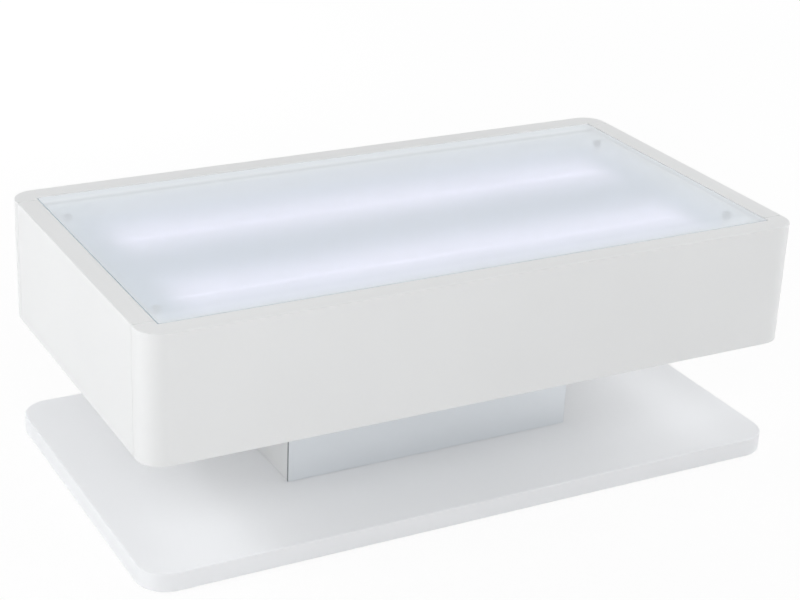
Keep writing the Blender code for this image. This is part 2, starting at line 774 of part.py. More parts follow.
def slide(face, side, body):
    """A three-part telescopic slide between the side board and the drawer's side."""
    where = f"{FACE_NAMES[face]}_{SIDE_NAMES[side]}_slide"
    middle_height = SLIDE_HEIGHT - 2 * (SLIDE_SHEET + SLIDE_BALL_GAP)
    drawer_height = middle_height - 2 * (SLIDE_SHEET + SLIDE_BALL_GAP)
    middle_web = MIDDLE_CHANNEL_OFFSET
    drawer_web = SLIDE_DEPTH - SEAT_GAP
    channel(f"{where}_cabinet", channel_outline(SEAT_GAP, SEAT_GAP + CABINET_CHANNEL_DEPTH, SLIDE_HEIGHT),
            SLIDE_LENGTH, side, face)
    runner = add_empty(f"{where}_runner", (0, face * CARCASS_END, SLIDE_CENTRE))
    channel(f"{where}_middle",
            channel_outline(middle_web, middle_web + MIDDLE_CHANNEL_DEPTH, middle_height),
            SLIDE_LENGTH, side, face, runner)
    channel(f"{where}_drawer",
            channel_outline(drawer_web, drawer_web - DRAWER_CHANNEL_DEPTH, drawer_height),
            SLIDE_START - DRAWER_BACK, side, face, body)


def build():
    """Build the whole table."""
    clear_scene()
    plate = base_plate()
    feet()
    ends = pedestal()
    bottom = bottom_panel()
    pedestal_bolts(ends, plate, bottom)
    centre = centre_board()
    tray = light_tray()
    for side in (LEFT, RIGHT):
        cheek(side)
        side_board(side)
    for face in (FRONT, BACK):
        glass_rail(face)
        light_strip(face)
        body = drawer(face)
        for side in (LEFT, RIGHT):
            slide(face, side, body)
    glass_top()
    glass_posts()
    controller()
    lead(bottom, centre, tray)


build()
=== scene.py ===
"""Looks of a white gloss coffee table with a lit glass top, two drawers and a mirror-clad pedestal.

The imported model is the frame, in metres: +X runs along the table to its right end, +Y to its back
and +Z up, from the floor under the table's middle. Pieces with rounded edges are computed again as
smooth surfaces. Flat boards and channels keep their solids and get a finish.
"""
from __future__ import annotations

import json
import logging
import math
from dataclasses import dataclass
from enum import Enum
from typing import Any, Callable

import bpy
import numpy as np
from mathutils import Matrix, Vector

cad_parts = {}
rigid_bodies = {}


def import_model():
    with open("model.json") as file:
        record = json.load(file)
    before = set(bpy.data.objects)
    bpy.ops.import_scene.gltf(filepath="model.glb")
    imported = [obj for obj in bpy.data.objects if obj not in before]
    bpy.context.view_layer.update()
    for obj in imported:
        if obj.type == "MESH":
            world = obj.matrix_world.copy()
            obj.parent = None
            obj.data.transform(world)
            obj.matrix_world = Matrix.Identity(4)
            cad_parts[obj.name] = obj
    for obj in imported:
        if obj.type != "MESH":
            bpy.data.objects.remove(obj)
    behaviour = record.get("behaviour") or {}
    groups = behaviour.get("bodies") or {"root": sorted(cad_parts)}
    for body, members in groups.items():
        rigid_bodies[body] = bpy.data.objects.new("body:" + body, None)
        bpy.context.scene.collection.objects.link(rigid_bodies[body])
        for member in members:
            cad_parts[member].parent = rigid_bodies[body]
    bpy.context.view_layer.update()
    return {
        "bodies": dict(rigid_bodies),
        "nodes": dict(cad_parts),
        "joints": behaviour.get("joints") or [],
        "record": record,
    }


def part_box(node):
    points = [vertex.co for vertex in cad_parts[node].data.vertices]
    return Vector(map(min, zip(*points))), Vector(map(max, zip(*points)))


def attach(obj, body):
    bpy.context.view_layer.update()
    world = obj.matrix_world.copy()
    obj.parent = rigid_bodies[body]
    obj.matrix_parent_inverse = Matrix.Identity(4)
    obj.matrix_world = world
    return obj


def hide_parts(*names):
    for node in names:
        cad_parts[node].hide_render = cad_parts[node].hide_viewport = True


LOG = logging.getLogger("coffee_table")
SIDES = ("left", "right")
FACES = ("front", "back")
QUARTER = math.pi / 2
# Straight pieces in a rounded corner, in a rounded edge and round a turned piece
CORNER_STEPS = 24
EDGE_STEPS = 5
TURN_STEPS = 40
# Angle between faces from which their edge is drawn sharp
SHARP_ANGLE = math.radians(40)
# Part of a face's normal from which the face looks in that direction
STEEP = 0.5
# How far large faces outweigh small ones in the even shading, with 50 for not at all
FACE_WEIGHT = 100

Triple = tuple[float, float, float]
Colour = Triple
BLACK: Colour = (0.0, 0.0, 0.0)
WHITE: Colour = (1.0, 1.0, 1.0)


class Body(Enum):
    """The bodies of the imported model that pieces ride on."""

    TABLE = "table"
    FRONT_DRAWER = "front_drawer"
    BACK_DRAWER = "back_drawer"


@dataclass(frozen=True)
class Extent:
    """The lowest and the highest corner of a piece at rest."""

    low: np.ndarray
    high: np.ndarray

    @classmethod
    def of(cls, node: str) -> Extent:
        """The extent of a node of the frame."""
        low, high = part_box(node)
        return cls(np.array(low, dtype=float), np.array(high, dtype=float))

    @property
    def middle(self) -> np.ndarray:
        """The point halfway between the corners."""
        return (self.low + self.high) / 2


# Surfaces

def rounded_outline(low: np.ndarray, high: np.ndarray, radii: tuple[float, ...],
                    steps: int) -> tuple[np.ndarray, np.ndarray]:
    """Compute the outline of a rectangle with rounded corners.

    Corner k turns from k to k + 1 quarter turns. With its centre c and radius r, a point is
    c + r (cos t, sin t) and its outward normal is (cos t, sin t).

    Args:
        low: lowest x and y.
        high: highest x and y.
        radii: radius of the corners at (+x, +y), (-x, +y), (-x, -y) and (+x, -y).
        steps: straight pieces in each corner.

    Returns:
        The points and the normals, one row for each point, anticlockwise from above.
    """
    signs = np.array([[1, 1], [-1, 1], [-1, -1], [1, -1]])[:, None, :]
    radius = np.array(radii)[:, None, None]
    angles = QUARTER * (np.arange(4)[:, None] + np.linspace(0, 1, steps + 1)[None, :])
    normals = np.stack([np.cos(angles), np.sin(angles)], axis=-1)
    centres = np.where(signs > 0, high, low) - signs * radius
    return (centres + radius * normals).reshape(-1, 2), normals.reshape(-1, 2)


def ring_faces(rows: int, columns: int) -> list[list[int]]:
    """Faces of a grid whose columns close into a ring, with a flat face over each end.

    Args:
        rows: rings of the grid, from the lowest one up.
        columns: points in each ring, anticlockwise from above.

    Returns:
        Vertex numbers of each face, which point outwards.
    """
    start = np.arange(rows - 1)[:, None] * columns
    here = np.arange(columns)[None, :]
    after = (here + 1) % columns
    quads = np.stack([start + here, start + after, start + columns + after, start + columns + here],
                     axis=-1)
    last = (rows - 1) * columns
    ends = [np.arange(columns)[::-1].tolist(), (last + np.arange(columns)).tolist()]
    return quads.reshape(-1, 4).tolist() + ends


def ring_mesh(name: str, rings: np.ndarray) -> bpy.types.Mesh:
    """Make a closed smooth mesh from rings of points.

    Args:
        name: the mesh's name.
        rings: points as rows x columns x 3.

    Returns:
        The mesh.
    """
    rows, columns, _ = rings.shape
    mesh = bpy.data.meshes.new(name)
    mesh.from_pydata(rings.reshape(-1, 3).tolist(), [], ring_faces(rows, columns))
    mesh.shade_smooth()
    mesh.set_sharp_from_angle(angle=SHARP_ANGLE)
    return mesh


def rounded_rows(points: np.ndarray, normals: np.ndarray, widths: np.ndarray, face: float,
                 rise: float) -> np.ndarray:
    """Compute the rings of an edge that is rounded toward a flat face.

    At the angle a, from 0 at the flat face to a quarter turn at the side, a ring lies
    width (1 - sin a) inside the outline and rise (1 - cos a) from the face.

    Args:
        points: the outline.
        normals: its outward normals.
        widths: width of the rounding along x and y, for each point or for all.
        face: height of the flat face.
        rise: height of the rounding, negative where the side lies below the face.

    Returns:
        The rings as rows x columns x 3, from the flat face to the side.
    """
    angles = np.linspace(0, QUARTER, EDGE_STEPS + 1)[:, None, None]
    flat = points[None] - (1 - np.sin(angles)) * (widths * normals)[None]
    upright = np.broadcast_to(face + rise * (1 - np.cos(angles)), (*flat.shape[:2], 1))
    return np.concatenate([flat, upright], axis=-1)


def slab(name: str, extent: Extent, radii: tuple[float, ...], edge: tuple[float, float],
         steps: int) -> bpy.types.Mesh:
    """Make a slab with rounded corners in plan and rounded upper and lower edges.

    Args:
        name: the mesh's name.
        extent: the slab's corners.
        radii: corner radii in plan, as for rounded_outline.
        edge: width of the rounding along x and y. Its height is the greater one.
        steps: straight pieces in each corner in plan.

    Returns:
        The mesh.
    """
    points, normals = rounded_outline(extent.low[:2], extent.high[:2], radii, steps)
    widths, rise = np.array(edge), max(edge)
    lower = rounded_rows(points, normals, widths, extent.low[2], rise)
    upper = rounded_rows(points, normals, widths, extent.high[2], -rise)
    return ring_mesh(name, np.concatenate([lower, upper[::-1]]))


def turned(name: str, profile: list[tuple[float, float]], centre: np.ndarray,
           steps: int) -> bpy.types.Mesh:
    """Make a turned piece.

    A point of the profile at radius r and height h goes round as (r cos t, r sin t, h).

    Args:
        name: the mesh's name.
        profile: radius and height of each ring, from the bottom up.
        centre: the point on the axis at height zero.
        steps: points in each ring.

    Returns:
        The mesh.
    """
    radius, height = np.array(profile).T[:, :, None]
    angles = np.linspace(0, 2 * math.pi, steps, endpoint=False)[None, :]
    parts = np.broadcast_arrays(radius * np.cos(angles), radius * np.sin(angles), height)
    return ring_mesh(name, np.stack(parts, axis=-1) + centre)


# Shader nodes

class Graph:
    """The nodes of one material or node group, added one at a time."""

    def __init__(self, tree: bpy.types.NodeTree) -> None:
        """Write into the tree."""
        self.tree = tree

    def node(self, kind: str, inputs: dict[str | int, Any] | None = None,
             **settings: Any) -> bpy.types.Node:
        """Add a node.

        Args:
            kind: the node's type.
            inputs: a value or another node's output for each named or numbered input.
            settings: the node's own settings.

        Returns:
            The node.
        """
        node = self.tree.nodes.new(kind)
        for key, value in settings.items():
            setattr(node, key, value)
        for key, value in (inputs or {}).items():
            self.feed(node.inputs[key], value)
        return node

    def feed(self, socket: bpy.types.NodeSocket, value: Any) -> None:
        """Link another node's output to a socket, or set the socket's value.

        Args:
            socket: the socket.
            value: the output, or the value.
        """
        if isinstance(value, bpy.types.NodeSocket):
            self.tree.links.new(value, socket)
        else:
            socket.default_value = value

    def maths(self, operation: str, first: Any, second: Any = 0.0) -> bpy.types.NodeSocket:
        """The result of a calculation with two numbers."""
        return self.node("ShaderNodeMath", {0: first, 1: second}, operation=operation).outputs[0]

    def span(self, value: Any, low: float, high: float, to_low: float = 0.0,
             to_high: float = 1.0) -> bpy.types.NodeSocket:
        """Carry a value smoothly from one range to another, and hold it at the ends.

        Args:
            value: the value.
            low: where its range starts.
            high: where its range ends.
            to_low: the result at the start.
            to_high: the result at the end.

        Returns:
            The result.
        """
        inputs = {"Value": value, "From Min": low, "From Max": high, "To Min": to_low,
                  "To Max": to_high}
        node = self.node("ShaderNodeMapRange", inputs, interpolation_type="SMOOTHSTEP")
        return node.outputs["Result"]

    def mix(self, share: Any, first: Any, second: Any) -> bpy.types.NodeSocket:
        """A colour between two others."""
        inputs = {0: share, 6: opaque(first), 7: opaque(second)}
        return self.node("ShaderNodeMix", inputs, data_type="RGBA").outputs[2]

    def place(self) -> bpy.types.NodeSocket:
        """The place on the piece, in the table's own metres."""
        return self.node("ShaderNodeTexCoord").outputs["Object"]

    def axes(self) -> tuple[bpy.types.NodeSocket, ...]:
        """The x, y and z of the place on the piece."""
        return tuple(self.node("ShaderNodeSeparateXYZ", {0: self.place()}).outputs)

    def group(self, name: str, build: Callable[[], bpy.types.NodeTree],
              inputs: dict[str, Any]) -> bpy.types.Node:
        """Place the node group of that name, which is built when first asked for."""
        tree = bpy.data.node_groups.get(name) or build()
        return self.node("ShaderNodeGroup", inputs, node_tree=tree)

    def bump(self, height: Any, distance: float) -> bpy.types.NodeSocket:
        """A normal tilted by a height field that is at most the distance deep."""
        inputs = {"Height": height, "Distance": distance, "Strength": 1.0}
        return self.node("ShaderNodeBump", inputs).outputs["Normal"]


def opaque(colour: Any) -> Any:
    """A colour with full alpha, or a socket as it is."""
    return (*colour, 1.0) if isinstance(colour, tuple) else colour


def node_group(name: str, inputs: dict[str, str],
               outputs: dict[str, str]) -> tuple[Graph, Any, Any]:
    """Start a shader node group.

    Args:
        name: the group's name.
        inputs: socket type of each named input.
        outputs: socket type of each named output.

    Returns:
        The group's graph, the sockets of its inputs by name and its output node.
    """
    tree = bpy.data.node_groups.new(name, "ShaderNodeTree")
    for title, kind in inputs.items():
        tree.interface.new_socket(name=title, in_out="INPUT", socket_type=kind)
    for title, kind in outputs.items():
        tree.interface.new_socket(name=title, in_out="OUTPUT", socket_type=kind)
    graph = Graph(tree)
    return graph, graph.node("NodeGroupInput").outputs, graph.node("NodeGroupOutput")


def relief_group() -> bpy.types.NodeTree:
    """Fine relief of a surface, and a slow change of tone across it.

    The place is stretched, then noise at Scale gives the relief and noise at Tone Scale gives the
    tone. The middle part of the tone's noise is spread from 0 to 1.

    Returns:
        The group.
    """
    fine_detail, slow_detail = 3.0, 2.0
    middle_part = (0.3, 0.7)
    graph, given, result = node_group(
        "relief", {"Scale": "NodeSocketFloat", "Stretch": "NodeSocketVector",
                   "Tone Scale": "NodeSocketFloat"},
        {"Height": "NodeSocketFloat", "Tone": "NodeSocketFloat"})
    stretched = graph.node("ShaderNodeVectorMath", {0: graph.place(), 1: given["Stretch"]},
                           operation="MULTIPLY").outputs[0]
    fine = graph.node("ShaderNodeTexNoise", {"Vector": stretched, "Scale": given["Scale"],
                                             "Detail": fine_detail})
    slow = graph.node("ShaderNodeTexNoise", {"Vector": stretched, "Scale": given["Tone Scale"],
                                             "Detail": slow_detail})
    graph.feed(result.inputs["Height"], fine.outputs[0])
    graph.feed(result.inputs["Tone"], graph.span(slow.outputs[0], *middle_part))
    return graph.tree


def specks_group() -> bpy.types.NodeTree:
    """Sparse round specks, such as dust or nibs.

    Space is divided into cells. A cell whose random number is below Share holds one speck of the
    radius Radius, counted in cells.

    Returns:
        The group.
    """
    graph, given, result = node_group(
        "specks", {"Cells": "NodeSocketFloat", "Share": "NodeSocketFloat",
                   "Radius": "NodeSocketFloat"}, {"Mask": "NodeSocketFloat"})
    cells = graph.node("ShaderNodeTexVoronoi", {"Vector": graph.place(), "Scale": given["Cells"]})
    lot = graph.node("ShaderNodeSeparateColor", {"Color": cells.outputs["Color"]}).outputs[0]
    near = graph.maths("LESS_THAN", cells.outputs["Distance"], given["Radius"])
    chosen = graph.maths("LESS_THAN", lot, given["Share"])
    graph.feed(result.inputs["Mask"], graph.maths("MULTIPLY", near, chosen))
    return graph.tree


def light_bands_group() -> bpy.types.NodeTree:
    """The glow of two light strips that run along X on each side of the middle.

    Across a strip the glow is exp(-(d / Spread)^2), with d the distance from the strip, which lies
    at Offset from the middle. Along it, the glow ends smoothly, from Fade before Start and End to
    Fade past them.

    Returns:
        The group.
    """
    graph, given, result = node_group(
        "light_bands", {"Offset": "NodeSocketFloat", "Spread": "NodeSocketFloat",
                        "Start": "NodeSocketFloat", "End": "NodeSocketFloat",
                        "Fade": "NodeSocketFloat"}, {"Glow": "NodeSocketFloat"})
    x, y, _ = graph.axes()
    away = graph.maths("SUBTRACT", graph.maths("ABSOLUTE", y), given["Offset"])
    share = graph.maths("DIVIDE", away, given["Spread"])
    square = graph.maths("MULTIPLY", share, share)
    across = graph.maths("EXPONENT", graph.maths("MULTIPLY", square, -1.0))
    from_start = graph.maths("DIVIDE", graph.maths("SUBTRACT", x, given["Start"]), given["Fade"])
    from_end = graph.maths("DIVIDE", graph.maths("SUBTRACT", given["End"], x), given["Fade"])
    along = graph.maths("MULTIPLY", graph.span(from_start, -1.0, 1.0),
                        graph.span(from_end, -1.0, 1.0))
    graph.feed(result.inputs["Glow"], graph.maths("MULTIPLY", across, along))
    return graph.tree


@dataclass(frozen=True)
class Relief:
    """Scale and depth of a surface's fine relief, and the scale at which its tone changes."""

    scale: float
    depth: float
    stretch: Triple = (1.0, 1.0, 1.0)
    tone_scale: float = 3.0

    def add(self, graph: Graph) -> tuple[bpy.types.NodeSocket, bpy.types.NodeSocket]:
        """Place the relief group in a material.

        Args:
            graph: the material's graph.

        Returns:
            The bumped normal and the tone.
        """
        node = graph.group("relief", relief_group, {
            "Scale": self.scale, "Stretch": self.stretch, "Tone Scale": self.tone_scale})
        return graph.bump(node.outputs["Height"], self.depth), node.outputs["Tone"]


@dataclass(frozen=True)
class Finish:
    """A finish: the values of its shader, its relief and how far its tone changes."""

    name: str
    colour: Colour
    shade: Colour
    roughness: float
    relief: Relief
    gloss_change: float = 0.05
    metallic: float = 0.0

    def material(self) -> bpy.types.Material:
        """The finish's material, made when first asked for."""
        found = bpy.data.materials.get(self.name)
        return found or self.make()

    def make(self) -> bpy.types.Material:
        """Build the material.

        Returns:
            A Principled material whose colour, roughness and normal follow the finish's relief.
        """
        material = bpy.data.materials.new(self.name)
        material.use_nodes = True
        graph = Graph(material.node_tree)
        shader = material.node_tree.nodes["Principled BSDF"]
        normal, tone = self.relief.add(graph)
        graph.feed(shader.inputs["Base Color"], self.paint(graph, tone))
        graph.feed(shader.inputs["Roughness"],
                   graph.span(tone, 0.0, 1.0, self.roughness, self.roughness + self.gloss_change))
        graph.feed(shader.inputs["Normal"], normal)
        shader.inputs["Metallic"].default_value = self.metallic
        self.extend(graph, shader)
        return material

    def paint(self, graph: Graph, tone: bpy.types.NodeSocket) -> bpy.types.NodeSocket:
        """The base colour: the finish's colour, shaded where the tone is high."""
        return graph.mix(tone, self.colour, self.shade)

    def extend(self, graph: Graph, shader: bpy.types.Node) -> None:
        """Add what only one kind of finish has."""


def light_up(graph: Graph, shader: bpy.types.Node, light: bpy.types.NodeSocket,
             strength: float = 1.0) -> None:
    """Add light of its own to a surface, of that colour and strength."""
    graph.feed(shader.inputs["Emission Color"], light)
    shader.inputs["Emission Strength"].default_value = strength


@dataclass(frozen=True)
class Lacquer(Finish):
    """White high-gloss lacquer with a few specks of dust in it."""

    speck_cells: float = 14.0
    speck_share: float = 0.05
    speck_radius: float = 0.011
    speck_colour: Colour = (0.25, 0.25, 0.26)

    def paint(self, graph: Graph, tone: bpy.types.NodeSocket) -> bpy.types.NodeSocket:
        """The lacquer's colour with its specks."""
        specks = graph.group("specks", specks_group, {
            "Cells": self.speck_cells, "Share": self.speck_share, "Radius": self.speck_radius})
        return graph.mix(specks.outputs["Mask"], super().paint(graph, tone), self.speck_colour)


@dataclass(frozen=True)
class FrostedGlass(Finish):
    """Glass with a polished top and a frosted underside, which light from below comes through.

    Light runs on inside it to its long edges, most of all to the back one, and to its right end.
    """

    alpha: float = 0.70
    edge_light: Colour = (0.205, 0.205, 0.205)
    lit_y: tuple[float, float] = (0.232, 0.252)
    lit_x: tuple[float, float] = (0.512, 0.537)
    front_share: float = 0.20
    end_share: float = 0.95

    def extend(self, graph: Graph, shader: bpy.types.Node) -> None:
        """Let light through the frosting, and add the light in the edges.

        Args:
            graph: the material's graph.
            shader: its shader.
        """
        x, y, _ = graph.axes()
        front = graph.span(graph.maths("MULTIPLY", y, -1.0), *self.lit_y, 0.0, self.front_share)
        long_edges = graph.maths("MAXIMUM", graph.span(y, *self.lit_y), front)
        right_end = graph.span(x, *self.lit_x, 0.0, self.end_share)
        share = graph.maths("MAXIMUM", long_edges, right_end)
        light_up(graph, shader, graph.mix(share, BLACK, self.edge_light))
        shader.inputs["Alpha"].default_value = self.alpha


@dataclass(frozen=True)
class LitEdge(Finish):
    """The ground edge of the glass, where some of the light inside it comes out.

    Less comes out at its right end.
    """

    glow: Colour = (0.17, 0.19, 0.21)
    end_glow: Colour = (0.03, 0.033, 0.036)
    end_from: float = 0.536

    def extend(self, graph: Graph, shader: bpy.types.Node) -> None:
        """Add the light.

        Args:
            graph: the material's graph.
            shader: its shader.
        """
        x, _, _ = graph.axes()
        at_end = graph.maths("GREATER_THAN", x, self.end_from)
        light_up(graph, shader, graph.mix(at_end, self.glow, self.end_glow))


@dataclass(frozen=True)
class LitWall(Finish):
    """A surface in the lit space under the glass, with the light that falls on it.

    The light rises over a range of heights, and ends at a distance to the front and back.
    """

    glow: Colour = (0.62, 0.66, 0.68)
    lit_from: tuple[float, float] = (0.386, 0.392)
    lit_half_depth: float = 0.2585

    def extend(self, graph: Graph, shader: bpy.types.Node) -> None:
        """Add the light.

        Args:
            graph: the material's graph.
            shader: its shader.
        """
        _, y, z = graph.axes()
        within = graph.maths("LESS_THAN", graph.maths("ABSOLUTE", y), self.lit_half_depth)
        share = graph.maths("MULTIPLY", within, graph.span(z, *self.lit_from))
        light_up(graph, shader, graph.mix(share, BLACK, self.glow))


@dataclass(frozen=True)
class LitPost(Finish):
    """A post under the glass, dim where it meets the glass and lit further down."""

    glow: Colour = (1.0, 1.05, 1.15)
    top_glow: Colour = (0.165, 0.172, 0.190)
    lit_below: tuple[float, float] = (0.400, 0.413)

    def extend(self, graph: Graph, shader: bpy.types.Node) -> None:
        """Add the light.

        Args:
            graph: the material's graph.
            shader: its shader.
        """
        _, _, z = graph.axes()
        share = graph.span(z, *self.lit_below)
        light_up(graph, shader, graph.mix(share, self.glow, self.top_glow))


@dataclass(frozen=True)
class LitTray(Finish):
    """The white tray, with the glow of the two light strips on it and scattered light between."""

    glow: Colour = (0.49, 0.46, 0.59)
    scattered: Colour = (0.10, 0.13, 0.17)
    strength: float = 3.1
    offset: float = 0.1225
    spread: float = 0.062
    start: float = -0.458
    end: float = 0.479
    fade: float = 0.03
    lit_above: float = 0.3912

    def extend(self, graph: Graph, shader: bpy.types.Node) -> None:
        """Add the glow.

        Args:
            graph: the material's graph.
            shader: its shader.
        """
        bands = graph.group("light_bands", light_bands_group, {
            "Offset": self.offset, "Spread": self.spread, "Start": self.start, "End": self.end,
            "Fade": self.fade})
        colour = graph.mix(bands.outputs["Glow"], self.scattered, self.glow)
        _, _, z = graph.axes()
        above = graph.maths("GREATER_THAN", z, self.lit_above)
        light_up(graph, shader, graph.mix(above, BLACK, colour), self.strength)


# The table's finishes

LACQUER = Lacquer("gloss_lacquer", (0.826, 0.834, 0.838), (0.814, 0.822, 0.826), 0.62,
                  Relief(60.0, 0.00002))
# The base plate has the same white lacquer as the box, painted lighter and bluer: painted light
# that lifts the shade under the box. Its extra specks are dust.
BASE_LACQUER_PAINTED_LIGHTER = Lacquer("gloss_lacquer_painted_lighter_on_base", (0.890, 0.901, 0.920), (0.875, 0.886, 0.905), 0.62,
                       Relief(60.0, 0.00002), speck_share=0.09)
MELAMINE = Finish("satin_melamine", (0.77, 0.77, 0.765), (0.74, 0.74, 0.73), 0.36,
                  Relief(420.0, 0.00004, (0.2, 1.0, 1.0)))
HARDBOARD = Finish("faced_hardboard", (0.73, 0.72, 0.70), (0.66, 0.65, 0.62), 0.48,
                   Relief(700.0, 0.00006, (0.35, 1.0, 1.0)))
GLASS = FrostedGlass("lit_frosted_glass", (0.750, 0.785, 0.815), (0.735, 0.773, 0.805), 0.04,
                     Relief(900.0, 0.00001), gloss_change=0.02)
GLASS_EDGE = LitEdge("ground_glass_edge", (0.34, 0.38, 0.41), (0.32, 0.36, 0.39), 0.35,
                     Relief(900.0, 0.00003))
SILVER = Finish("silvered_plate", (0.905, 0.930, 0.950), (0.890, 0.915, 0.935), 0.04,
                Relief(90.0, 0.00001, (0.15, 1.0, 1.0)), metallic=1.0, gloss_change=0.02)
PLATE_END = Finish("sealed_plate_end", (0.22, 0.23, 0.24), (0.20, 0.21, 0.22), 0.4,
                   Relief(900.0, 0.00003))
ZINC = Finish("zinc_plated_steel", (0.62, 0.63, 0.65), (0.52, 0.53, 0.55), 0.26,
              Relief(260.0, 0.00002, (1.0, 0.05, 1.0), 40.0), metallic=1.0, gloss_change=0.12)
# The left posts are the same rubber as the right ones, painted lighter and given a brighter top
# glow: painted light that takes away the dark spots they show through the glass.
POSTS = {"left": LitPost("rubber_painted_lighter", (0.50, 0.50, 0.52), (0.46, 0.46, 0.48), 0.7,
                         Relief(900.0, 0.00005), top_glow=(0.235, 0.243, 0.260)),
         "right": LitPost("soft_dark_rubber", (0.22, 0.22, 0.23), (0.18, 0.18, 0.19), 0.7,
                          Relief(900.0, 0.00005))}
GREY_PLASTIC = Finish("matte_grey_plastic", (0.10, 0.10, 0.10), (0.08, 0.08, 0.08), 0.5,
                      Relief(1200.0, 0.00005))
WHITE_PLASTIC = Finish("satin_white_plastic", (0.80, 0.80, 0.80), (0.76, 0.76, 0.76), 0.35,
                       Relief(1200.0, 0.00003))
LIT_WALL = LitWall("lit_melamine", (0.77, 0.77, 0.765), (0.74, 0.74, 0.73), 0.36,
                   Relief(420.0, 0.00004, (0.2, 1.0, 1.0)))
LIT_TRAY = LitTray("lit_tray", (0.84, 0.84, 0.845), (0.81, 0.81, 0.82), 0.36,
                   Relief(420.0, 0.00004, (0.2, 1.0, 1.0)))


# Putting pieces in the frame

def add_piece(name: str, mesh: bpy.types.Mesh, body: Body, finish: Finish,
              *nodes: str) -> bpy.types.Object:
    """Add a piece that rides on a body.

    Args:
        name: the piece's name.
        mesh: its mesh, in the frame's metres.
        body: the body that it moves with.
        finish: its finish, where its mesh has none yet.
        nodes: nodes of the frame that it stands for.

    Returns:
        The piece.
    """
    piece = bpy.data.objects.new(name, mesh)
    bpy.context.scene.collection.objects.link(piece)
    if not mesh.materials:
        mesh.materials.append(finish.material())
    even = piece.modifiers.new("even_shading", "WEIGHTED_NORMAL")
    even.weight = FACE_WEIGHT
    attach(piece, body.value)
    if nodes:
        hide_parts(*nodes)
    LOG.info("%s rides on %s and stands for %s", name, body.value, ", ".join(nodes) or "no node")
    return piece


def face_normals(mesh: bpy.types.Mesh) -> np.ndarray:
    """Read the normals of a mesh's faces.

    Args:
        mesh: the mesh.

    Returns:
        The normals, one row for each face.
    """
    normals = np.empty(3 * len(mesh.polygons))
    mesh.polygons.foreach_get("normal", normals)
    return normals.reshape(-1, 3)


def upright_faces(mesh: bpy.types.Mesh) -> np.ndarray:
    """Whether each face stands more upright than flat."""
    return np.abs(face_normals(mesh)[:, 2]) < STEEP


def end_faces(mesh: bpy.types.Mesh) -> np.ndarray:
    """Whether each face looks to the left or right end of the table."""
    return np.abs(face_normals(mesh)[:, 0]) > STEEP


def two_finishes(mesh: bpy.types.Mesh, main_finish: Finish, other: Finish,
                 chosen: np.ndarray) -> None:
    """Give some faces of a mesh another finish than the rest.

    Args:
        mesh: the mesh.
        main_finish: the finish of the faces that aren't chosen.
        other: the finish of the chosen faces.
        chosen: whether each face is chosen.
    """
    mesh.materials.append(main_finish.material())
    mesh.materials.append(other.material())
    mesh.polygons.foreach_set("material_index", chosen.astype(np.int32))


@dataclass
class Assembly:
    """Nodes of the frame that share a place on the table."""

    frame: dict[str, Any]

    def dress(self, node: str, finish: Finish) -> None:
        """Give a node of the frame its finish.

        Args:
            node: the node.
            finish: its finish.
        """
        piece = self.frame["nodes"][node]
        for place in piece.material_slots:
            place.material = finish.material()
        LOG.info("%s keeps its solid, in %s", node, finish.name)


@dataclass
class Base(Assembly):
    """The base plate, the feet under it and the bolts through it."""

    corner_radius: float = 0.050
    edge: float = 0.002
    foot_edge: float = 0.0006

    def build(self) -> None:
        """Build the plate and its feet, and dress its bolts."""
        radii = (self.corner_radius,) * 4
        mesh = slab("base_plate_gloss", Extent.of("base_plate"), radii, (self.edge,) * 2,
                    CORNER_STEPS)
        # The plate's lacquer is painted lighter and bluer than the box's, as painted light.
        add_piece("base_plate_gloss", mesh, Body.TABLE, BASE_LACQUER_PAINTED_LIGHTER, "base_plate")
        for face in FACES:
            for side in SIDES:
                self.foot(f"foot_{face}_{side}")
                self.dress(f"base_bolt_{face}_{side}", ZINC)

    def foot(self, node: str) -> None:
        """Build a flat foot, rounded at its lower edge.

        At the angle a, from 0 to a quarter turn, its profile lies edge (1 - sin a) inside its
        radius and edge (1 - cos a) above the floor.

        Args:
            node: the foot's node in the frame.
        """
        extent = Extent.of(node)
        radius = (extent.high[0] - extent.low[0]) / 2
        bend = np.linspace(0, QUARTER, EDGE_STEPS)
        lower = zip(radius - self.foot_edge * (1 - np.sin(bend)),
                    self.foot_edge * (1 - np.cos(bend)))
        profile = [*lower, (radius, extent.high[2])]
        centre = np.array([extent.middle[0], extent.middle[1], 0.0])
        add_piece(f"{node}_disc", turned(f"{node}_disc", profile, centre, TURN_STEPS), Body.TABLE,
                  GREY_PLASTIC, node)


@dataclass
class Pedestal(Assembly):
    """The pedestal's boards and silvered plates."""

    board_edge: float = 0.0006
    board_corner: float = 0.0008
    plate_edge: float = 0.0008
    plate_corner: float = 0.0012

    def build(self) -> None:
        """Build the end boards and the plates, and dress the long boards."""
        for side in SIDES:
            node = f"pedestal_end_{side}"
            mesh = slab(f"{node}_gloss", Extent.of(node), (self.board_corner,) * 4,
                        (self.board_edge,) * 2, EDGE_STEPS)
            add_piece(f"{node}_gloss", mesh, Body.TABLE, LACQUER, node)
        for face in FACES:
            self.dress(f"pedestal_board_{face}", MELAMINE)
            node = f"mirror_plate_{face}"
            mesh = slab(f"{node}_silver", Extent.of(node), (self.plate_corner,) * 4,
                        (self.plate_edge,) * 2, EDGE_STEPS)
            two_finishes(mesh, SILVER, PLATE_END, end_faces(mesh))
            add_piece(f"{node}_silver", mesh, Body.TABLE, SILVER, node)


